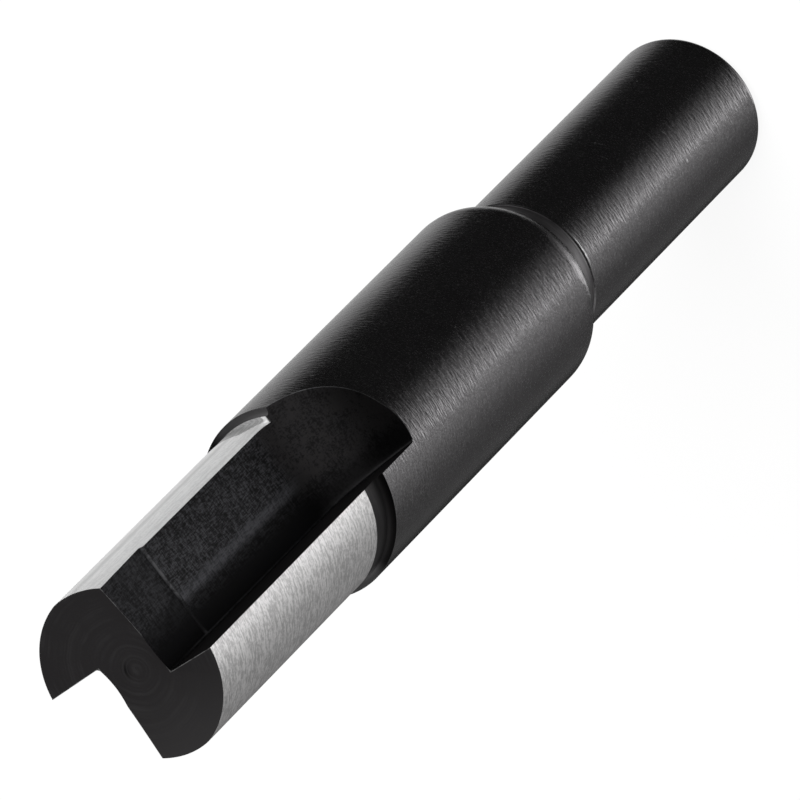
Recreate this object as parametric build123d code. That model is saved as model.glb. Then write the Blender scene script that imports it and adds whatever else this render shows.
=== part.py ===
from build123d import *
import os
from math import radians, sin, tan

os.makedirs("parts", exist_ok=True)

# Two-flute wood milling cutter, one piece of tool steel, in millimetres.
# The axis is Z. The shank end stands on Z = 0 and the cutting corners are the top.

# Diameters
shank_diameter = 12.0
shank_relief_diameter = 11.8
collar_diameter = 15.0
head_neck_diameter = 13.9
cutting_diameter = 14.0

# Lengths along the axis
shank_length = 32.0
shank_relief_length = 2.6
collar_length = 34.1
head_length = 26.4
head_neck_length = 2.1

# Turned edges
end_chamfer = 0.6
relief_step_length = 0.15
collar_chamfer_length = 1.0
collar_chamfer_height = 0.6
shoulder_root_radius = 0.45
relief_root_radius = 0.4
dish_depth = 0.88

# Flutes, each one straight, milled to a flat floor with a shallow gullet along the rake face
rake_angle = 11.8
web_thickness = 4.92
gullet_width = 3.58
gullet_depth = 0.18
flute_corner_radius = 0.3
run_out_lead = 2.3
run_out_radius = 8.0

# Gashes that open the flutes at the cutting end
tip_web_thickness = 4.82
gash_length = 6.42
gash_taper = 1.25
gash_corner_radii = (0.35, 0.9)

# Ground clearance behind each margin, an eccentric cylinder
clearance_radius = 6.82
clearance_offset = 0.77
clearance_lead_angle = 9.0
clearance_stop = 0.35

# Values that follow from the sizes above
shank_radius = shank_diameter / 2
shank_relief_radius = shank_relief_diameter / 2
collar_radius = collar_diameter / 2
head_neck_radius = head_neck_diameter / 2
cutting_radius = cutting_diameter / 2
rear_shoulder = shank_length
front_shoulder = rear_shoulder + collar_length
cutting_end = front_shoulder + head_length
margin_end = front_shoulder + head_neck_length
gash_end = cutting_end - gash_length
run_out_start = front_shoulder + run_out_lead
rake_face = cutting_radius * sin(radians(rake_angle))
flute_floor = web_thickness / 2
tip_floor = tip_web_thickness / 2
beyond = 2.0
outside = collar_radius + beyond


def vertex_at(face, radius, height):
    """The corner of a turned section at a radius and a height."""
    return face.vertices().sort_by_distance((radius, 0, height))[0]


def turned_blank():
    """The blank as it leaves the lathe, with its shoulders, relief, chamfers and dished face."""
    corners = [
        (0, 0),
        (shank_radius - end_chamfer, 0),
        (shank_radius, end_chamfer),
        (shank_radius, rear_shoulder - shank_relief_length - relief_step_length),
        (shank_relief_radius, rear_shoulder - shank_relief_length),
        (shank_relief_radius, rear_shoulder),
        (collar_radius - collar_chamfer_height, rear_shoulder),
        (collar_radius, rear_shoulder + collar_chamfer_length),
        (collar_radius, front_shoulder),
        (head_neck_radius, front_shoulder),
        (head_neck_radius, margin_end),
        (cutting_radius, margin_end),
        (cutting_radius, cutting_end),
        (0, cutting_end - dish_depth),
    ]
    section = Plane.XZ * make_face(Polyline(*corners, close=True))
    section = fillet(vertex_at(section, head_neck_radius, front_shoulder), shoulder_root_radius)
    section = fillet(vertex_at(section, shank_relief_radius, rear_shoulder), relief_root_radius)
    return revolve(section, Axis.Z)


def flute():
    """What the flute cutter takes away: a straight slot and its curved run-out into the collar."""
    gullet_start = (rake_face - gullet_width, flute_floor)
    gullet_middle = (rake_face - gullet_width / 2, flute_floor - gullet_depth)
    gullet_end = (rake_face, flute_floor)
    gullet = ThreePointArc(gullet_start, gullet_middle, gullet_end)
    slot_corners = [(rake_face, outside), (-outside, outside), (-outside, flute_floor)]
    slot = Polyline(gullet_end, *slot_corners, gullet_start)
    section = make_face([gullet, slot])
    foot = section.vertices().sort_by_distance(gullet_end)[0]
    section = Pos(0, 0, run_out_start) * fillet(foot, flute_corner_radius)
    straight = extrude(section, cutting_end - run_out_start + beyond, dir=(0, 0, 1))
    run_out_axis = Axis((0, flute_floor + run_out_radius, run_out_start), (1, 0, 0))
    return straight + revolve(section, run_out_axis, 90)


def gash(corner_radius):
    """The wedge ground out of the flute at the cutting end, a little deeper towards its rear."""
    top = cutting_end + beyond
    slope = tan(radians(gash_taper))
    profile = [
        (tip_floor - gash_length * slope, gash_end),
        (outside, gash_end),
        (outside, top),
        (tip_floor + beyond * slope, top),
    ]
    side = Plane.YZ.offset(-outside) * make_face(Polyline(*profile, close=True))
    wedge = extrude(side, outside + rake_face, dir=(1, 0, 0))
    foot = wedge.edges().sort_by_distance((rake_face, tip_floor, cutting_end))[0]
    return fillet(foot, corner_radius)


def clearance():
    """What the eccentric grinding takes off the land behind one margin."""
    cutting_angle = 90 - rake_angle
    centre = Vector(clearance_offset, 0).rotate(Axis.Z, cutting_angle + clearance_lead_angle)
    ring = Circle(outside) - Pos(centre.X, centre.Y) * Circle(clearance_radius)
    ring &= Pos(outside / 2, 0) * Rectangle(outside, 2 * outside)
    bottom = front_shoulder + clearance_stop
    return extrude(Pos(0, 0, bottom) * ring, cutting_end - bottom + beyond)


cutter = turned_blank()
for turn, corner_radius in zip((0, 180), gash_corner_radii):
    cutter -= Rot(0, 0, turn) * clearance()
    cutter -= Rot(0, 0, turn) * flute()
    cutter -= Rot(0, 0, turn) * gash(corner_radius)

export_step(cutter.solid(), "parts/milling_cutter.step")
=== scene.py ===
import math

import bmesh
import bpy
from mathutils import Matrix, Vector


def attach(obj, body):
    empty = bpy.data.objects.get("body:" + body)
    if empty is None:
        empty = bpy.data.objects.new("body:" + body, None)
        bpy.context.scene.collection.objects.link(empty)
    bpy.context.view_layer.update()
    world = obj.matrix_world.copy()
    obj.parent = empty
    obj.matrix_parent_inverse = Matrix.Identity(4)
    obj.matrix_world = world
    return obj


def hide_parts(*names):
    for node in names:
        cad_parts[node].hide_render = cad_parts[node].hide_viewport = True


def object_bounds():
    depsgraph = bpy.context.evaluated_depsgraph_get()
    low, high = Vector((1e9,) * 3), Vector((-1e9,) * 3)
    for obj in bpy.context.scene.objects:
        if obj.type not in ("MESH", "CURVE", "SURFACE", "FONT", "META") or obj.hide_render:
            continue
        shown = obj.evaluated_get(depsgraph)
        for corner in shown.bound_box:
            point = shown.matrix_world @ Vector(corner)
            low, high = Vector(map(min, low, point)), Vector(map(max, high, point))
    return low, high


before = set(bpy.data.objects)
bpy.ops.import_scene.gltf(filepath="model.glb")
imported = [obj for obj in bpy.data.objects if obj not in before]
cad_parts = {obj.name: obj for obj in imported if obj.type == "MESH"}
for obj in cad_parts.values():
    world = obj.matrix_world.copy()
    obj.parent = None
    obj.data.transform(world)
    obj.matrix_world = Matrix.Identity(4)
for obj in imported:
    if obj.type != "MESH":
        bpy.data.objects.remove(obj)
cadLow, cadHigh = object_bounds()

perMetre = 1000.0  # millimetres in a metre
print("stage 1: frame loaded")


class Value:  # an output socket that can be used in sums
    def __init__(self, bench, socket):
        self.bench, self.socket = bench, socket

    def maths(self, operation, first, second=0.0):
        return self.bench.value("ShaderNodeMath", {"operation": operation}, {0: first, 1: second})

    def __add__(self, other):
        return self.maths("ADD", self, other)

    def __radd__(self, other):
        return self.maths("ADD", other, self)

    def __sub__(self, other):
        return self.maths("SUBTRACT", self, other)

    def __rsub__(self, other):
        return self.maths("SUBTRACT", other, self)

    def __mul__(self, other):
        return self.maths("MULTIPLY", self, other)

    def __rmul__(self, other):
        return self.maths("MULTIPLY", other, self)

    def __truediv__(self, other):
        return self.maths("DIVIDE", self, other)

    def __pow__(self, other):
        return self.maths("POWER", self, other)

    def __gt__(self, other):
        return self.maths("GREATER_THAN", self, other)

    def __lt__(self, other):
        return self.maths("LESS_THAN", self, other)

    def swing(self, size):  # a noise as a swing about zero
        return (self - 0.5) * size


class Bench:  # one node tree, and the methods that fill it
    def __init__(self, tree):
        self.tree = tree
        tree.nodes.clear()

    def add(self, kind, settings=None, inputs=None):
        node = self.tree.nodes.new(kind)
        for name, setting in (settings or {}).items():
            if name == "stops":  # the places and colours of a ramp
                ramp = node.color_ramp
                while len(ramp.elements) < len(setting):
                    ramp.elements.new(0.5)  # each one is placed below
                for element, (place, grey) in zip(ramp.elements, setting):
                    element.position, element.color = place, (grey, grey, grey, 1)
            else:
                setattr(node, name, setting)
        for name, given in (inputs or {}).items():
            if isinstance(given, Value):
                self.tree.links.new(given.socket, node.inputs[name])
            else:
                node.inputs[name].default_value = given
        return node

    def value(self, kind, settings=None, inputs=None, output=0):
        return Value(self, self.add(kind, settings, inputs).outputs[output])

    def alone(self, operation, value):  # a Math node with one input, such as ABSOLUTE or SIGN
        return self.value("ShaderNodeMath", {"operation": operation}, {0: value})

    def ramp(self, value, low, high, start=0.0, end=1.0):  # eased from start to end between low and high
        levels = {"Value": value, "From Min": low, "From Max": high, "To Min": start, "To Max": end}
        return self.value("ShaderNodeMapRange", {"interpolation_type": "SMOOTHSTEP"}, levels)

    def bump(self, value, middle, width):  # 1 at the middle, fading to 0 half a width away
        distance = self.alone("ABSOLUTE", value - middle)
        return self.ramp(distance, 0.0, width / 2, 1.0, 0.0)

    def noise(self, point, scales, detail=2.0, roughness=0.5, offset=(0.0, 0.0, 0.0)):
        place = self.value("ShaderNodeVectorMath", {"operation": "MULTIPLY_ADD"}, {0: point, 1: scales, 2: offset})
        levels = {"Vector": place, "Scale": 1.0, "Detail": detail, "Roughness": roughness}
        return self.value("ShaderNodeTexNoise", None, levels)

    def blend(self, amount, first, second):  # mixes two colours
        sockets = {0: amount, 6: first, 7: second}
        return self.value("ShaderNodeMix", {"data_type": "RGBA"}, sockets, 2)


# the camera stands as in the photograph, with the long lens of a product shot
cameraPlace = {
    "at": (-0.092449, 0.539908, 0.761781), "azimuth": 99.710, "elevation": 52.434, "roll": 135.390,
    "lens": 571.26, "sensor": 36, "clip": (0.05, 20),
}


def makeCamera(place):
    camera = bpy.data.objects.new("camera", bpy.data.cameras.new("camera"))
    camera.data.lens = place["lens"]
    camera.data.sensor_width = place["sensor"]
    camera.data.clip_start, camera.data.clip_end = place["clip"]
    around, up, roll = (math.radians(place[name]) for name in ("azimuth", "elevation", "roll"))
    turn = Matrix.Rotation(around + math.pi / 2, 4, "Z") @ Matrix.Rotation(math.pi / 2 - up, 4, "X")
    camera.matrix_world = Matrix.Translation(place["at"]) @ turn @ Matrix.Rotation(-roll, 4, "Z")
    bpy.context.scene.collection.objects.link(camera)
    bpy.context.scene.camera = camera


makeCamera(cameraPlace)

# the studio: a white floor, a soft lamp, and what the steel reflects
studio = {
    "floorHalfWidth": 3.0, "floorDrop": 0.0001, "floorWhite": 0.1, "floorLift": 0.915,
    "lampAt": (-0.5, 0.3, 0.9), "lampWidth": 0.9, "lampWatts": 14.0,
    # azimuth in degrees from +X, and how bright the room is there: softboxes between black flags
    "sides": ((-180, 0.05), (-162, 0.05), (-150, 0.28), (-138, 0.95), (-126, 1.15), (-110, 1.05), (-98, 0.95),
              (-91, 1.05), (-85, 0.45), (-80, 0.02), (-60, 0.03), (-50, 0.12), (-38, 0.32), (-20, 0.3), (0, 0.34),
              (20, 0.55), (50, 1.3), (57, 1.35), (60, 0.3), (85, 0.1), (104, 0.05), (180, 0.05)),
    "sidesPeak": 1.6,
    # a strip lamp low on the right: where its sharp edge stands, how far it fades, and its reach up and back
    "stripEdge": 0.32, "stripSoft": (-0.01, 0.02), "stripFade": 0.54, "stripPeak": 5.6,
    "stripHeights": (-0.70, -0.96), "stripBack": (-0.2, 0.0),
    # straight below: plain grey, for looks from above along the cutter
    "below": 0.3, "belowFrom": (0.98, 0.994),
    # higher up: a dim front and two upright lamps at the sides, and a lit back under a black flag
    "ceilingFront": 0.4, "frontFrom": (-0.3, 0.1), "dimFront": 0.16, "dimHeights": (0.4, 0.65),
    "uprights": 0.65, "uprightsFrom": (0.72, 0.95),
    "ceilingBack": 0.5, "ceilingFlag": 0.06, "flagHeights": (0.4, 0.68), "ceilingFrom": (-0.62, -0.3),
}


def makeFloor(look):
    half = look["floorHalfWidth"]
    mesh = bpy.data.meshes.new("floor")
    corners = [(x * half, y * half, -look["floorDrop"]) for x, y in ((-1, -1), (1, -1), (1, 1), (-1, 1))]
    mesh.from_pydata(corners, [], [(0, 1, 2, 3)])
    floor = bpy.data.objects.new("floor", mesh)
    bpy.context.scene.collection.objects.link(floor)
    material = bpy.data.materials.new("whiteFloor")
    material.use_nodes = True
    bench = Bench(material.node_tree)
    lightPath = bench.add("ShaderNodeLightPath")
    isCamera, isGlossy = (Value(bench, lightPath.outputs[name]) for name in ("Is Camera Ray", "Is Glossy Ray"))
    white = (look["floorWhite"],) * 3 + (1,)
    paper = bench.value("ShaderNodeBsdfDiffuse", None, {"Color": white})
    lift = bench.value("ShaderNodeEmission", None, {"Color": (1, 1, 1, 1), "Strength": isCamera * look["floorLift"]})
    seen = bench.value("ShaderNodeAddShader", None, {0: paper, 1: lift})
    unseen = bench.value("ShaderNodeBsdfTransparent")
    mixed = bench.value("ShaderNodeMixShader", None, {0: isGlossy, 1: seen, 2: unseen})
    bench.add("ShaderNodeOutputMaterial", None, {"Surface": mixed})
    mesh.materials.append(material)


def makeRoom(look):
    world = bpy.data.worlds.new("studio")
    world.use_nodes = True
    bpy.context.scene.world = world
    bench = Bench(world.node_tree)
    direction = bench.value("ShaderNodeTexCoord", None, None, "Generated")
    around = bench.value("ShaderNodeTexGradient", {"gradient_type": "RADIAL"}, {"Vector": direction}, "Fac")
    parts = bench.add("ShaderNodeSeparateXYZ", None, {0: direction})
    right, depth, height = (Value(bench, parts.outputs[axis]) for axis in "XYZ")
    stops = [(azimuth / 360 + 0.5, level / look["sidesPeak"]) for azimuth, level in look["sides"]]
    sides = bench.value("ShaderNodeValToRGB", {"stops": stops}, {"Fac": around}) * look["sidesPeak"]
    inside = right - look["stripEdge"]
    clamped = {"operation": "ADD", "use_clamp": True}
    fade = bench.value("ShaderNodeMath", clamped, {0: inside / look["stripFade"], 1: 1.0})
    strip = fade ** 2 * bench.ramp(inside, *look["stripSoft"], 1.0, 0.0)
    strip = strip * bench.ramp(0 - height, *(0 - level for level in look["stripHeights"]))
    strip = strip * bench.ramp(depth, *look["stripBack"]) * look["stripPeak"]
    back = bench.ramp(height, *look["flagHeights"], look["ceilingBack"], look["ceilingFlag"])
    front = bench.ramp(depth, *look["frontFrom"], 1.0, 0.0)
    frontLevel = bench.ramp(height, *look["dimHeights"], look["dimFront"], look["ceilingFront"])
    uprights = bench.ramp(bench.alone("ABSOLUTE", right), *look["uprightsFrom"]) * look["uprights"]
    ceiling = back * (1 - front) + front * frontLevel + uprights
    above = bench.ramp(height, *look["ceilingFrom"])
    below = bench.ramp(0 - height, *look["belowFrom"])
    low = (sides + strip) * (1 - below) + below * look["below"]
    room = low * (1 - above) + ceiling * above
    isCamera = bench.value("ShaderNodeLightPath", None, None, "Is Camera Ray")
    strength = room * (1 - isCamera) + isCamera
    background = bench.value("ShaderNodeBackground", None, {"Color": (1, 1, 1, 1), "Strength": strength})
    bench.add("ShaderNodeOutputWorld", None, {"Surface": background})


def makeLamp(look):
    lamp = bpy.data.objects.new("softLamp", bpy.data.lights.new("softLamp", "AREA"))
    lamp.data.shape, lamp.data.size, lamp.data.energy = "DISK", look["lampWidth"], look["lampWatts"]
    away = Vector(look["lampAt"])
    lamp.matrix_world = Matrix.Translation(away) @ away.to_track_quat("Z", "Y").to_matrix().to_4x4()
    lamp.visible_glossy = False  # the steel mirrors the room alone
    bpy.context.scene.collection.objects.link(lamp)


makeFloor(studio)
makeRoom(studio)
makeLamp(studio)
print("stage 2: camera, floor, room and lamp")

# the cutter's sizes in millimetres, heights from the shank's end
cutter = {
    "collarRadius": cadHigh.x * perMetre, "cuttingEnd": cadHigh.z * perMetre,
    "shankRadius": 6.0, "reliefRadius": 5.9, "neckRadius": 6.95, "cuttingRadius": 7.0,
    "rearShoulder": 32.0, "frontShoulder": 66.1, "marginEnd": 68.2, "dish": 0.88,
    "endChamfer": 0.6, "endEdge": 0.12, "endRound": 0.8,
    "edge": 0.05,  # the radius of the edges that are only broken
    "reliefEnd": 29.57, "reliefStep": 0.08, "reliefSlope": (2.25, 0.5), "reliefBend": 0.8, "reliefRoot": 0.3,
    "collarChamferLength": 1.0, "collarChamferHeight": 0.6, "collarEdge": 0.08, "collarRound": 2.9, "neckRoot": 0.45,
    "rakeFace": 1.43, "floor": 2.46, "gulletWidth": 3.58, "gulletDepth": 0.18, "cornerRadius": 0.3,
    "runOutStart": 68.4, "runOutRadius": 8.0,
    "gashEnd": 86.08, "tipFloor": 2.41, "gashTaper": 1.25, "gashRise": 0.1, "gashRun": 0.25,
    "gashCorners": (0.35, 0.9),
    "clearanceRadius": 6.82, "clearanceOffset": 0.77, "clearanceAngle": 87.2, "clearanceEnd": 66.45,
    "clearanceSpan": (-80, 60),  # degrees from +X over which the grinding reaches
    # how finely it is cut up, how far the tools reach past it, and the angle from which an edge is sharp
    "sides": 288, "flutes": 2, "arcSteps": 40, "cornerSteps": 6, "gashSteps": 10, "edgeSteps": 8, "edgeHold": 0.02,
    "beyond": 2.0, "weld": 0.0005, "weldMetres": 1e-7, "sharpAngle": 22,
    # how far the finishes of the shoulders reach, and how level the end face has to be
    "neckFinish": 0.03, "rearFinish": 0.04, "faceUpward": 0.5,
}


def roundedLine(corners, steps, hold=0.0):
    # corners are (x, y, radius): each one is replaced by an arc of its radius
    points = []
    for index, (x, y, radius) in enumerate(corners):
        corner = Vector((x, y))
        if not radius:  # a sharp corner
            points.append((x, y))
            continue
        before = (Vector(corners[index - 1][:2]) - corner).normalized()
        after = (Vector(corners[index + 1][:2]) - corner).normalized()
        half = before.angle(after) / 2
        centre = corner + (before + after).normalized() * radius / math.sin(half)
        start = corner + before * radius / math.tan(half) - centre
        end = corner + after * radius / math.tan(half) - centre
        sweep = start.angle_signed(end)
        if hold:  # a point just outside the arc keeps the flat beside it flat
            points.append(tuple(centre + start + before * hold))
        for step in range(steps + 1):
            spoke = start.copy()
            spoke.rotate(Matrix.Rotation(-sweep * step / steps, 2))
            points.append(tuple(centre + spoke))
        if hold:
            points.append(tuple(centre + end + after * hold))
    return points


def solidFromRings(name, rings, material):
    # joins closed rings of equal length into one solid, with a cap on each end
    mesh = bpy.data.meshes.new(name)
    count = len(rings[0])
    points = [point for ring in rings for point in ring]
    faces = [tuple(range(count)), tuple(reversed(range(len(points) - count, len(points))))]
    for ring in range(len(rings) - 1):
        for index in range(count):
            here, there = ring * count + index, ring * count + (index + 1) % count
            faces.append((here, here + count, there + count, there))
    mesh.from_pydata(points, [], faces)
    work = bmesh.new()
    work.from_mesh(mesh)
    bmesh.ops.recalc_face_normals(work, faces=work.faces)
    work.to_mesh(mesh)
    work.free()
    mesh.materials.append(material)
    tool = bpy.data.objects.new(name, mesh)
    bpy.context.scene.collection.objects.link(tool)
    return tool


def fluteTool(size, material):
    # the flute's section, straight along the head and then round the run-out's arc
    half, depth = size["gulletWidth"] / 2, size["gulletDepth"]
    big = (half * half + depth * depth) / (2 * depth)
    middle = Vector((size["rakeFace"] - half, size["floor"] - depth + big))
    small = size["cornerRadius"]
    reach = half - small
    foot = middle + Vector((reach, -math.sqrt((big - small) ** 2 - reach ** 2)))
    lastTurn = math.atan2(foot.x - middle.x, middle.y - foot.y)
    firstTurn = -math.asin(half / big)
    steps = size["arcSteps"] // 2
    section = []
    for step in range(steps + 1):
        turn = firstTurn + (lastTurn - firstTurn) * step / steps
        section.append((middle.x + big * math.sin(turn), middle.y - big * math.cos(turn)))
    for step in range(1, size["cornerSteps"] + 1):
        turn = lastTurn + (math.pi / 2 - lastTurn) * step / size["cornerSteps"]
        section.append((foot.x + small * math.sin(turn), foot.y - small * math.cos(turn)))
    wide = size["collarRadius"] + size["beyond"]
    section += [(size["rakeFace"], wide), (-wide, wide), (-wide, size["floor"])]
    pivot, start = size["floor"] + size["runOutRadius"], size["runOutStart"]
    rings = [[(x, y, size["cuttingEnd"] + size["beyond"]) for x, y in section]]
    for step in range(size["arcSteps"] + 1):
        turn = math.pi / 2 * step / size["arcSteps"]
        down, back = math.cos(turn), math.sin(turn)
        rings.append([(x, pivot - (pivot - y) * down, start - (pivot - y) * back) for x, y in section])
    return solidFromRings("fluteTool", rings, material)


def gashTool(name, size, corner, material):
    wide, rake = size["collarRadius"] + size["beyond"], size["rakeFace"]
    slope, rise = math.tan(math.radians(size["gashTaper"])), size["gashRise"]
    top, bottom = size["cuttingEnd"] + size["beyond"], size["gashEnd"]
    rings = []
    for height, lift in ((top, 0), (bottom + size["gashRun"], 0), (bottom - rise, 2 * rise)):
        floor = size["tipFloor"] + (height - size["cuttingEnd"]) * slope + lift
        outline = [(-wide, floor, 0), (rake, floor, corner), (rake, wide, 0), (-wide, wide, 0)]
        rings.append([(x, y, height) for x, y in roundedLine(outline, size["gashSteps"])])
    return solidFromRings(name, rings, material)


def clearanceTool(size, material):
    # everything outside the eccentric cylinder, on the land behind one cutting edge
    wide, radius = size["collarRadius"] + size["beyond"], size["clearanceRadius"]
    turn = math.radians(size["clearanceAngle"])
    x0, y0 = size["clearanceOffset"] * math.cos(turn), size["clearanceOffset"] * math.sin(turn)
    first, last = (math.radians(angle) for angle in size["clearanceSpan"])
    count = size["sides"] // 2
    angles = [first + (last - first) * step / count for step in range(count + 1)]
    inner = [(x0 + radius * math.cos(angle), y0 + radius * math.sin(angle)) for angle in angles]
    outer = [(wide * math.cos(angle), wide * math.sin(angle)) for angle in reversed(angles)]
    heights = (size["cuttingEnd"] + size["beyond"], size["clearanceEnd"])
    return solidFromRings("clearanceTool", [[(x, y, z) for x, y in inner + outer] for z in heights], material)


def latheProfile(size):
    shank, relief, collar = size["shankRadius"], size["reliefRadius"], size["collarRadius"]
    neck, cutting = size["neckRadius"], size["cuttingRadius"]
    rear, front, end = size["rearShoulder"], size["frontShoulder"], size["cuttingEnd"]
    slopeLength, slopeRise = size["reliefSlope"]
    corners = [
        (0, 0, 0), (shank - size["endChamfer"], 0, size["endEdge"]), (shank, size["endChamfer"], size["endRound"]),
        (shank, size["reliefEnd"] - size["reliefStep"], size["edge"]), (relief, size["reliefEnd"], size["edge"]),
        (relief, rear - slopeLength, size["reliefBend"]), (relief + slopeRise, rear, size["reliefRoot"]),
        (collar - size["collarChamferHeight"], rear, size["collarEdge"]),
        (collar, rear + size["collarChamferLength"], size["collarRound"]), (collar, front, size["edge"]),
        (neck, front, size["neckRoot"]), (neck, size["marginEnd"], 0), (cutting, size["marginEnd"], 0),
        (cutting, end, 0), (0, end - size["dish"], 0),
    ]
    points = roundedLine(corners, size["edgeSteps"], size["edgeHold"])
    mesh = bpy.data.meshes.new("profile")
    mesh.from_pydata([(x, 0, z) for x, z in points], [(i, i + 1) for i in range(len(points) - 1)], [])
    profile = bpy.data.objects.new("millingCutter", mesh)
    bpy.context.scene.collection.objects.link(profile)
    return profile


def turningTree(size, looks, tools):
    # turns the profile round the axis, mills it with the tools, and gives each zone its finish
    tree = bpy.data.node_groups.new("turnedAndMilled", "GeometryNodeTree")
    sockets = [("Profile", "NodeSocketGeometry", None), ("Sides", "NodeSocketInt", size["sides"]),
               ("Flutes", "NodeSocketInt", size["flutes"]), ("Neck End", "NodeSocketFloat", size["marginEnd"]),
               ("Front Shoulder", "NodeSocketFloat", size["frontShoulder"]),
               ("Rear Shoulder", "NodeSocketFloat", size["rearShoulder"]),
               ("Relief End", "NodeSocketFloat", size["reliefEnd"]), ("Scale", "NodeSocketFloat", 1 / perMetre)]
    for name, kind, start in sockets:
        socket = tree.interface.new_socket(name, in_out="INPUT", socket_type=kind)
        if start is not None:
            socket.default_value = start
    tree.interface.new_socket("Mesh", in_out="OUTPUT", socket_type="NodeSocketGeometry")
    bench = Bench(tree)
    given = bench.add("NodeGroupInput")
    ready = [Value(bench, given.outputs[socket[0]]) for socket in sockets]
    profile, sides, flutes, neckEnd, front, rear, reliefEnd, scale = ready

    rows = bench.value("GeometryNodeAttributeDomainSize", {"component": "MESH"}, {0: profile}, "Point Count")
    grid = {"Size X": 1.0, "Size Y": 1.0, "Vertices X": rows, "Vertices Y": sides + 1}
    sheet = bench.value("GeometryNodeMeshGrid", None, grid)
    place = bench.value("GeometryNodeInputPosition")
    onSheet = bench.add("ShaderNodeSeparateXYZ", None, {0: place})
    row = (Value(bench, onSheet.outputs["X"]) + 0.5) * (rows - 1)
    sample = {"Geometry": profile, "Value": place, "Index": bench.alone("ROUND", row)}
    point = bench.value("GeometryNodeSampleIndex", {"data_type": "FLOAT_VECTOR"}, sample)
    turn = (Value(bench, onSheet.outputs["Y"]) + 0.5) * (2 * math.pi)
    turned = bench.value("ShaderNodeVectorRotate", {"rotation_type": "Z_AXIS"}, {"Vector": point, "Angle": turn})
    lathed = bench.value("GeometryNodeSetPosition", None, {"Geometry": sheet, "Position": turned})
    blank = bench.value("GeometryNodeMergeByDistance", None, {"Geometry": lathed, "Distance": size["weld"]})

    height = Value(bench, bench.add("ShaderNodeSeparateXYZ", None, {0: place}).outputs["Z"])
    normal = bench.add("ShaderNodeSeparateXYZ", None, {0: bench.value("GeometryNodeInputNormal")})
    flat = bench.alone("ABSOLUTE", Value(bench, normal.outputs["Z"])) > size["faceUpward"]
    zones = [("blackGround", None), ("blackTurned", (height > front - size["neckFinish"]) * (height < neckEnd)),
             ("blackTurned", (height > reliefEnd) * (height < rear + size["rearFinish"])),
             ("brightLand", height > neckEnd), ("blackFace", (height > size["cuttingEnd"] - size["dish"]) * flat)]
    for name, where in zones:
        inputs = {"Geometry": blank, "Material": looks[name]}
        if where is not None:
            inputs["Selection"] = where
        blank = bench.value("GeometryNodeSetMaterial", None, inputs)

    line = bench.value("GeometryNodeMeshLine", None, {"Count": flutes, "Offset": (0.0, 0.0, 0.0)})
    step = bench.value("GeometryNodeInputIndex") * (2 * math.pi) / flutes
    spin = bench.value("ShaderNodeCombineXYZ", None, {"Z": step})
    cutters = []
    for tool in tools["repeated"]:
        mesh = bench.value("GeometryNodeObjectInfo", None, {"Object": tool}, "Geometry")
        spread = {"Points": line, "Instance": mesh, "Rotation": spin}
        copies = bench.value("GeometryNodeInstanceOnPoints", None, spread)
        cutters.append(bench.value("GeometryNodeRealizeInstances", None, {"Geometry": copies}))
    for index, tool in enumerate(tools["single"]):
        mesh = bench.value("GeometryNodeObjectInfo", None, {"Object": tool}, "Geometry")
        turnTo = (0.0, 0.0, index * 2 * math.pi / len(tools["single"]))
        cutters.append(bench.value("GeometryNodeTransform", None, {"Geometry": mesh, "Rotation": turnTo}))
    milled = blank
    for solid in cutters:
        milled = bench.value("GeometryNodeMeshBoolean", {"operation": "DIFFERENCE", "solver": "EXACT"},
                             {"Mesh 1": milled, "Mesh 2": solid})

    metres = bench.value("ShaderNodeCombineXYZ", None, {"X": scale, "Y": scale, "Z": scale})
    scaled = bench.value("GeometryNodeTransform", None, {"Geometry": milled, "Scale": metres})
    whole = bench.value("GeometryNodeRealizeInstances", None, {"Geometry": scaled})
    bare = bench.value("GeometryNodeInputMaterialIndex") < 0
    finish = {"Geometry": whole, "Selection": bare, "Material": looks["blackGround"]}
    finished = bench.value("GeometryNodeSetMaterial", None, finish)
    bench.add("NodeGroupOutput", None, {0: finished})
    return tree


def startSteel(name):
    # a fresh material, its bench, the point in millimetres, and the point's parts
    material = bpy.data.materials.new(name)
    material.use_nodes = True
    bench = Bench(material.node_tree)
    coordinates = bench.value("ShaderNodeTexCoord", None, None, "Object")
    point = bench.value("ShaderNodeVectorMath", {"operation": "SCALE"}, {0: coordinates, "Scale": perMetre})
    parts = bench.add("ShaderNodeSeparateXYZ", None, {0: point})
    x, y, z = (Value(bench, parts.outputs[axis]) for axis in "XYZ")
    return material, bench, point, x, y, z


def finishSteel(bench, look, colour, roughness, height, metallic=1.0):
    # height runs from 0 to about 1, and the look's depth is its size in metres
    normal = bench.value("ShaderNodeBump", None, {"Strength": 1.0, "Distance": look["depth"], "Height": height})
    inputs = {"Base Color": colour, "Metallic": metallic, "Roughness": roughness, "Normal": normal,
              "Specular Tint": (look["edgeTint"],) * 3 + (1,),
              "Anisotropic": look["streak"], "Anisotropic Rotation": look["streakTurn"]}
    shader = bench.value("ShaderNodeBsdfPrincipled", None, inputs)
    bench.add("ShaderNodeOutputMaterial", None, {"Surface": shader})


def larger(first, second):  # the larger one of two, where the first is a Value
    return first.maths("MAXIMUM", first, second)


def shared(values, shares):  # adds values up by their shares
    total = values[0] * shares[0]
    for value, share in zip(values[1:], shares[1:]):
        total = total + value * share
    return total


def aroundAxis(bench, x, y):
    # the angle round the axis in degrees from 0 to 360, and the distance from it
    turn = bench.value("ShaderNodeMath", {"operation": "ARCTAN2"}, {0: 0 - y, 1: 0 - x})
    return turn * (180 / math.pi) + 180, (x * x + y * y) ** 0.5


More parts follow.
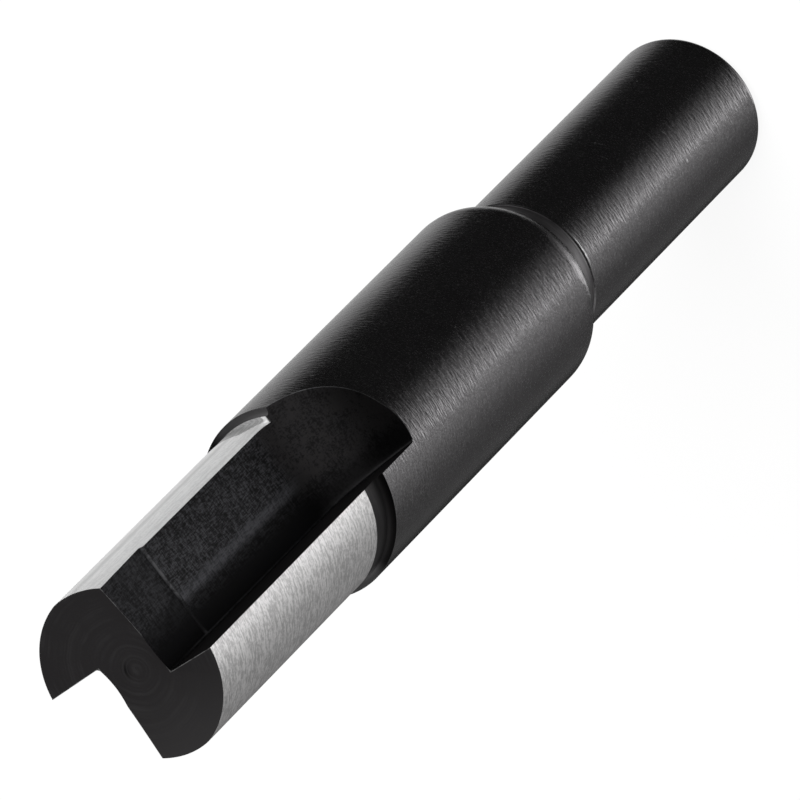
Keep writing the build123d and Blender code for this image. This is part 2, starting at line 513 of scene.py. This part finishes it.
def spot(bench, angle, radius, z, place):
    # a mark lying on the round surface: its angle, height, length, width and slant
    turn, height, length, width, slant = place
    along = (angle - turn) * radius * (math.pi / 180)
    across = z - height
    level, steep = math.cos(math.radians(slant)), math.sin(math.radians(slant))
    run, side = along * level + across * steep, across * level - along * steep
    return bench.bump(run, 0.0, length) * bench.bump(side, 0.0, width)


# in the looks a noise is (scales, detail, roughness, offset), and a ramp is (low, high) or (low, high, start, end),
# with lengths in millimetres, angles in degrees, and depths in metres
groundLook = {
    "colour": (0.0795, 0.0765, 0.0785, 1), "rubbed": (0.162, 0.159, 0.162, 1), "speckAndHighlight": (0.5, 0.5, 0.5, 1),
    "roughness": 0.21, "edgeTint": 0.6, "streak": 0.0, "streakTurn": 0.25, "depth": 2.45e-5,
    # grinding lines, clouds of duller steel, and grain
    "lines": ((1.3, 1.3, 4.6), 1.0, 0.6), "fine": ((2.0, 2.0, 8.0), 1.0, 0.6, (7.0, 3.0, 0.0)), "fineHeight": 0.4,
    "cloud": ((0.25, 0.25, 0.12), 2.0), "cloudDull": 0.1, "grain": ((7.0, 7.0, 7.0), 2.0, 0.7),
    "grainFrom": (0.36, 0.64), "grainLight": 0.6, "dullFrom": (0.5, 0.7), "dull": 0.11,
    "rubbedShares": (0.5, 0.5), "rubbedFrom": (0.42, 0.68), "rubbedLight": 0.25,
    "rubbedEdge": (66.05, 0.08),  # the collar's front edge, its height and width
    # painted shade: the dark line beside the relief's step, only on one side of the axis: its height and width, and
    # the angles over which it sets in
    "stepRing": (29.5, 0.26), "stepFrom": (94.0, 112.0), "stepPaintedShade": (0.03, 0.029, 0.03, 1),
    # loose specks, one to a cell at most, and marks by their angle, height, length, width and slant; the mark at 87
    # degrees, 29.36 high, is a painted highlight on the relief's step
    "cells": 0.5, "speckFrom": (0.3, 1.0), "speckSize": 0.1, "speckLeast": 0.0001, "speckEdge": (0.4, 1.0, 0.35, 0.0),
    "marksAndStepHighlight": ((130.6, 18.3, 0.35, 0.35, 0), (127.0, 18.15, 1.1, 0.12, 12), (117.2, 19.5, 0.8, 0.14, 10),
              (146.1, 34.9, 0.5, 0.12, 40), (105.0, 14.1, 1.0, 0.09, -20), (101.0, 12.6, 0.9, 0.08, 25),
              (142.9, 8.1, 0.3, 0.3, 0), (106.3, 48.8, 0.3, 0.3, 0), (122.1, 44.4, 0.25, 0.25, 0),
              (87.0, 29.36, 4.6, 0.24, 0), (132.0, 20.6, 0.9, 0.09, 15)),
}


def blackGround(look):
    material, bench, point, x, y, z = startSteel("blackGround")
    lines, fine = bench.noise(point, *look["lines"]), bench.noise(point, *look["fine"])
    cloud, grain = bench.noise(point, *look["cloud"]), bench.noise(point, *look["grain"])
    angle, radius = aroundAxis(bench, x, y)
    cells = bench.add("ShaderNodeTexVoronoi", None, {"Vector": point, "Scale": look["cells"], "Randomness": 1.0})
    chance = bench.value("ShaderNodeSeparateColor", None, {0: Value(bench, cells.outputs["Color"])}, "Red")
    size = bench.ramp(chance, *look["speckFrom"], 0.0, look["speckSize"]) + look["speckLeast"]
    specksMarksAndHighlight = bench.ramp(Value(bench, cells.outputs["Distance"]) / size, *look["speckEdge"])
    for place in look["marksAndStepHighlight"]:
        specksMarksAndHighlight = larger(specksMarksAndHighlight, spot(bench, angle, radius, z, place))
    rubbed = bench.ramp(shared([lines, fine], look["rubbedShares"]), *look["rubbedFrom"])
    rubbed = larger(rubbed, bench.bump(z, *look["rubbedEdge"]))
    light = rubbed * look["rubbedLight"] + bench.ramp(grain, *look["grainFrom"]) * look["grainLight"]
    colour = bench.blend(light, look["colour"], look["rubbed"])
    # painted shade along the relief's step, from the given angles on
    step = bench.bump(z, *look["stepRing"]) * bench.ramp(angle, *look["stepFrom"])
    colour = bench.blend(step, colour, look["stepPaintedShade"])
    # real specks and marks, and the painted highlight on the relief's step, in the speck's pale colour
    colour = bench.blend(specksMarksAndHighlight, colour, look["speckAndHighlight"])
    dull = bench.ramp(grain, *look["dullFrom"]) * look["dull"]
    roughness = look["roughness"] + cloud.swing(look["cloudDull"]) + dull
    finishSteel(bench, look, colour, roughness, lines + fine * look["fineHeight"])
    return material


turnedLook = {
    "colour": (0.08, 0.0765, 0.079, 1), "worn": (0.125, 0.121, 0.124, 1), "wornFrom": (0.4, 0.7),
    "roughness": 0.5, "edgeTint": 0.7, "streak": 0.4, "streakTurn": 0.25, "depth": 8e-6,
    "lines": ((0.6, 0.6, 6.0), 3.0, 0.6),
    # a painted highlight on the relief's step, placed like the marks above
    "stepHighlightColour": (0.4, 0.4, 0.4, 1), "stepHighlight": (86.0, 29.64, 5.5, 0.34, 0),
    # the head's neck: painted shade, darkest by the front shoulder, and lighter towards the heel of each land
    "neck": (0.02, 0.019, 0.0195, 1), "neckHeel": (0.14, 0.138, 0.14, 1), "heelTurn": (190.0, 204.0),
    "neckFrom": 60.0, "neckHeights": (66.3, 67.5, 1.0, 0.75),
}


def blackTurned(look):
    material, bench, point, x, y, z = startSteel("blackTurned")
    lines = bench.noise(point, *look["lines"])
    angle, radius = aroundAxis(bench, x, y)
    colour = bench.blend(bench.ramp(lines, *look["wornFrom"]), look["colour"], look["worn"])
    side = bench.alone("SIGN", x) * -1
    fromHeel = aroundAxis(bench, x * side, y * side)[0]
    # painted shade on the neck, lighter towards each land's heel and deepest next to the shoulder
    neck = bench.blend(bench.ramp(fromHeel, *look["heelTurn"]), look["neckHeel"], look["neck"])
    colour = bench.blend((z > look["neckFrom"]) * bench.ramp(z, *look["neckHeights"]), colour, neck)
    # the painted highlight on the relief's step
    colour = bench.blend(spot(bench, angle, radius, z, look["stepHighlight"]), colour, look["stepHighlightColour"])
    finishSteel(bench, look, colour, look["roughness"], lines)
    return material


faceLook = {
    "colour": (0.0575, 0.054, 0.056, 1), "ring": (0.08, 0.077, 0.079, 1), "dark": (0.025, 0.025, 0.025, 1),
    "edge": (0.5, 0.5, 0.5, 1), "light": (0.1, 0.096, 0.098, 1), "lightFrom": (0.5, 9.0),
    "roughness": 0.42, "edgeTint": 0.7, "streak": 0.0, "streakTurn": 0.0, "depth": 2e-6,
    # turning rings: how dense they are, how far they waver, and the angle and width of the side where they're clear
    "wobble": ((0.4, 0.4, 0.4), 2.0), "ringScale": 2.6, "ringWaver": 1.5, "ringDetail": 3.0, "ringFrom": (0.42, 0.62),
    "clearFrom": (0.42, 0.62, 0.1, 0.6), "clearAt": (315.0, 160.0), "clearSide": 0.5,
    "grain": ((6.0, 6.0, 6.0), 2.0, 0.7), "grainLight": 0.6, "grainHeight": 0.3,
    # the dark patch beside the centre, by its radius and its angle
    "darkRadius": (0.9, 0.9), "darkAt": (250.0, 120.0), "darkRings": (0.45, 0.6, 1.0, 0.0),
    # the worn line with a painted highlight along each flute, and the shorter one that turns up its rake face
    "edgeAt": 2.41, "edgeWidth": 0.13, "edgeEnd": 1.44, "edgeUp": (1.44, 0.104), "edgeUpFrom": 2.36,
    "patches": ((1.5, 1.5, 1.5), 3.0, 0.8), "patchFrom": (0.38, 0.54, 0.3, 1.0),
}


def blackFace(look):
    material, bench, point, x, y = startSteel("blackFace")[:5]
    angle, radius = aroundAxis(bench, x, y)
    wobble = bench.noise(point, *look["wobble"])
    outward = radius * look["ringScale"] + wobble * look["ringWaver"]
    across = bench.value("ShaderNodeCombineXYZ", None, {"X": outward, "Y": 0.0, "Z": 0.0})
    rings = bench.value("ShaderNodeTexNoise", None, {"Vector": across, "Scale": 1.0, "Detail": look["ringDetail"]})
    grain = bench.noise(point, *look["grain"])
    clear = bench.ramp(wobble, *look["clearFrom"]) + bench.bump(angle, *look["clearAt"]) * look["clearSide"]
    light = bench.ramp(rings, *look["ringFrom"]) * clear + grain.swing(look["grainLight"])
    colour = bench.blend(light, look["colour"], look["ring"])
    colour = bench.blend(bench.ramp(x, *look["lightFrom"]), colour, look["light"])
    centre = bench.bump(radius, *look["darkRadius"]) * bench.bump(angle, *look["darkAt"])
    colour = bench.blend(centre * bench.ramp(rings, *look["darkRings"]), colour, look["dark"])
    side = bench.alone("SIGN", y)
    line = bench.bump(y * side, look["edgeAt"], look["edgeWidth"]) * (x * side < look["edgeEnd"])
    line = larger(line, bench.bump(x * side, *look["edgeUp"]) * (y * side > look["edgeUpFrom"]))
    patchy = bench.ramp(bench.noise(point, *look["patches"]), *look["patchFrom"])
    # worn edges with painted highlights, in patches
    colour = bench.blend(line * patchy, colour, look["edge"])
    finishSteel(bench, look, colour, look["roughness"], rings + grain * look["grainHeight"])
    return material


milledLook = {
    "colour": (0.009, 0.0088, 0.0092, 1), "spot": (0.06, 0.06, 0.065, 1), "smooth": (0.046, 0.0435, 0.0445, 1),
    "highlightBand": (0.09, 0.09, 0.098, 1), "edge": (0.26, 0.26, 0.27, 1), "wall": (0.03, 0.028, 0.029, 1),
    "dim": (0.014, 0.0135, 0.0145, 1), "dimFrom": (-0.6, 0.6),
    "roughness": 0.42, "edgeTint": 0.6, "streak": 0.0, "streakTurn": 0.0, "depth": 2.2e-5,
    # the floor's weave: three noises and their shares, and how it fades across the flute and on the gash
    "across": ((8.5, 8.5, 1.6), 2.0, 0.6), "along": ((1.9, 1.9, 6.4), 2.0, 0.6),
    "fine": ((11.0, 11.0, 11.0), 1.0, 0.7), "weaveShares": (0.44, 0.36, 0.2),
    "cloud": ((0.6, 0.6, 0.4), 3.0, 0.6), "cloudSwing": 0.1,
    "floorFade": (-2.2, -1.2, 1.0, 0.45), "rakeFade": (-0.9, 0.7, 1.0, 0.1), "mottleFrom": (0.42, 0.62),
    "gashMottle": (0.05, 0.03), "gashFaint": 0.4,
    # a painted highlight band along the floor's open side, and the smoother run-out
    "bandAt": (-1.55, 1.5), "bandFade": (65.5, 68.5), "bandEnd": 85.9, "bandWeave": (0.36, 0.6, 0.35, 1.0),
    "runOutBy": (69.5, 67.0), "smoothShares": (0.4, 0.6), "smoothFrom": (0.41, 0.58, 0.35, 1.2),
    "smoothFade": (-1.4, 0.3, 1.0, 0.22), "runOutFlat": 0.5, "wallDull": 0.14,
    # worn lines with painted highlights: the collar's rim, the foot of the rake face and the gash's step, the last
    # painted light over its own shade
    "patches": ((1.2, 1.2, 1.2), 3.0, 0.8), "patchFrom": (0.35, 0.6, 0.3, 1.0), "rim": (7.43, 7.49), "rimEnd": 66.05,
    "foot": (1.25, 1.41), "footTop": 2.85, "footLight": 0.13, "footRunOut": (1.25, 0.6), "footRunOutLight": 0.04,
    "step": 86.14, "stepWidth": 0.4, "stepAcross": (-2.4, -1.4, 0.55, 0.06),
}


def blackMilled(look, name):
    material, bench, point, x, y, z = startSteel(name)
    radius = aroundAxis(bench, x, y)[1]
    side = bench.alone("SIGN", y)
    across, out = x * side, y * side
    noises = [bench.noise(point, *look[kind]) for kind in ("across", "along", "fine")]
    weave = shared(noises, look["weaveShares"])
    cloud = bench.noise(point, *look["cloud"])
    onFloor = bench.ramp(across, *look["floorFade"]) * bench.ramp(across, *look["rakeFade"])
    onGash = z > look["step"]
    low, high = look["mottleFrom"]
    lower, higher = look["gashMottle"]
    mottle = bench.ramp(weave + cloud.swing(look["cloudSwing"]), low - onGash * lower, high + onGash * higher)
    colour = bench.blend(mottle * onFloor * (1 - onGash * look["gashFaint"]), look["colour"], look["spot"])
    # the painted highlight band along the floor's open side
    highlightBand = bench.bump(across, *look["bandAt"]) * bench.ramp(z, *look["bandFade"]) * (z < look["bandEnd"])
    colour = bench.blend(highlightBand * bench.ramp(weave, *look["bandWeave"]), colour, look["highlightBand"])
    onRunOut = bench.ramp(0 - z, *(0 - height for height in look["runOutBy"]))
    smooth = onRunOut * bench.ramp(shared([cloud, weave], look["smoothShares"]), *look["smoothFrom"])
    colour = bench.blend(smooth * bench.ramp(across, *look["smoothFade"]), colour, look["smooth"])
    colour = bench.blend(bench.ramp(across, *look["dimFrom"]) * (1 - onRunOut), colour, look["dim"])
    onWall = (across > look["foot"][1]) * (out > look["footTop"])
    colour = bench.blend(onWall, colour, look["wall"])
    patchy = bench.ramp(bench.noise(point, *look["patches"]), *look["patchFrom"])
    # painted highlights, partly wear, along the rim, the rake face's foot and the gash's step, in patches
    rim = bench.ramp(radius, *look["rim"]) * (z < look["rimEnd"])
    foot = bench.ramp(across, *look["foot"]) * (out < look["footTop"]) * look["footLight"]
    foot = foot + onRunOut * bench.bump(across, *look["footRunOut"]) * look["footRunOutLight"]
    step = bench.bump(z, look["step"], look["stepWidth"]) * bench.ramp(across, *look["stepAcross"])
    colour = bench.blend(larger(larger(rim, foot), step) * patchy, colour, look["edge"])
    height = weave * (onFloor * (1 - onRunOut * look["runOutFlat"]))
    finishSteel(bench, look, colour, look["roughness"] + onWall * look["wallDull"], height)
    return material


landLook = {
    "colour": (0.69, 0.68, 0.68, 1), "shade": (0.42, 0.415, 0.415, 1), "roughness": 0.4, "edgeTint": 0.9,
    "streak": 0.2, "streakTurn": 0.25, "depth": 9e-6,
    "lines": ((1.2, 1.2, 6.0), 3.0, 0.65), "fine": ((5.0, 5.0, 5.0), 2.0, 0.7), "cloud": ((0.3, 0.3, 0.5), 2.0),
    "shares": (0.6, 0.3, 0.1), "shadeFrom": (0.42, 0.58), "fineHeight": 0.5,
}


def brightLand(look):
    material, bench, point = startSteel("brightLand")[:3]
    lines, fine, cloud = (bench.noise(point, *look[kind]) for kind in ("lines", "fine", "cloud"))
    shade = bench.ramp(shared([lines, fine, cloud], look["shares"]), *look["shadeFrom"])
    colour = bench.blend(shade, look["shade"], look["colour"])
    finishSteel(bench, look, colour, look["roughness"], lines + fine * look["fineHeight"])
    return material


reliefLook = {
    "colour": (0.93, 0.93, 0.93, 1), "shade": (0.78, 0.78, 0.78, 1), "heel": (0.58, 0.58, 0.58, 1),
    "black": (0.03, 0.03, 0.03, 1),
    "roughness": 0.48, "metallic": 0.5, "edgeTint": 0.95, "streak": 0.7, "streakTurn": 0.0, "depth": 9e-6,
    "lines": ((5.0, 5.0, 0.5), 3.0, 0.65), "fine": ((5.0, 5.0, 5.0), 2.0, 0.7), "fineHeight": 0.4,
    "shares": (0.6, 0.4), "shadeFrom": (0.38, 0.6), "heelAt": (179.0, 10.0), "heelShade": 0.6,
    # the tip's rounding: height and size along the axis, then square to the floor
    "tip": (66.78, 0.33, 2.48, 0.29), "tipEdge": (0.95, 1.2),
    # below the margin only half the neck is ground: the edge of that zone starts at an angle and a height, and
    # climbs by so much a degree
    "half": (0.34, 0.34, 0.34, 1), "halfFrom": (160.0, 66.4), "halfClimb": 0.173, "halfTop": 68.2,
    "halfRagged": 0.8, "halfEdge": (-0.3, 0.15, 1.0, 0.0), "halfLines": (0.35, 0.65, 1.0, 0.7),
}


def brightRelief(look):
    material, bench, point, x, y, z = startSteel("brightRelief")
    side = bench.alone("SIGN", x) * -1
    angle = aroundAxis(bench, x * side, y * side)[0]
    lines, fine = bench.noise(point, *look["lines"]), bench.noise(point, *look["fine"])
    shade = bench.ramp(shared([lines, fine], look["shares"]), *look["shadeFrom"])
    colour = bench.blend(shade, look["shade"], look["colour"])
    colour = bench.blend(bench.bump(angle, *look["heelAt"]) * look["heelShade"], colour, look["heel"])
    turn, height = look["halfFrom"]
    above = z - height - (angle - turn) * look["halfClimb"]
    half = bench.ramp(above + fine.swing(look["halfRagged"]), *look["halfEdge"]) * (z < look["halfTop"])
    colour = bench.blend(half * bench.ramp(lines, *look["halfLines"]), colour, look["half"])
    tipZ, tipLong, tipOut, tipWide = look["tip"]
    low, inward = larger((tipZ - z) / tipLong, 0.0), larger((y * side - tipOut) / tipWide, 0.0)
    colour = bench.blend(bench.ramp(low * low + inward * inward, *look["tipEdge"]), colour, look["black"])
    finishSteel(bench, look, colour, look["roughness"], lines + fine * look["fineHeight"], look["metallic"])
    return material


looks = {
    "blackGround": blackGround(groundLook), "blackTurned": blackTurned(turnedLook), "blackFace": blackFace(faceLook),
    "blackMilled": blackMilled(milledLook, "blackMilled"), "blackGash": blackMilled(milledLook, "blackGash"),
    "brightLand": brightLand(landLook), "brightRelief": brightRelief(reliefLook),
}
print("stage 3: finishes")


def makeCutter(size):
    piece = latheProfile(size)
    repeated = [clearanceTool(size, looks["brightRelief"]), fluteTool(size, looks["blackMilled"])]
    single = [gashTool(f"gashTool{index}", size, corner, looks["blackGash"])
              for index, corner in enumerate(size["gashCorners"])]
    modifier = piece.modifiers.new("turnedAndMilled", "NODES")
    modifier.node_group = turningTree(size, looks, {"repeated": repeated, "single": single})
    bpy.context.view_layer.update()
    mesh = bpy.data.meshes.new_from_object(piece.evaluated_get(bpy.context.evaluated_depsgraph_get()))
    piece.modifiers.remove(modifier)
    piece.data = mesh
    for tool in repeated + single:
        bpy.data.objects.remove(tool)
    work = bmesh.new()
    work.from_mesh(mesh)
    bmesh.ops.remove_doubles(work, verts=work.verts, dist=size["weldMetres"])
    bmesh.ops.recalc_face_normals(work, faces=work.faces)
    print("open edges", sum(1 for edge in work.edges if len(edge.link_faces) != 2), "faces", len(work.faces))
    work.to_mesh(mesh)
    work.free()
    mesh.shade_smooth()
    mesh.set_sharp_from_angle(angle=math.radians(size["sharpAngle"]))
    return piece


millingCutter = makeCutter(cutter)
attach(millingCutter, "root")
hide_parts("milling_cutter")
print("stage 4: cutter turned and milled")

bpy.context.scene.view_settings.view_transform = "Standard"
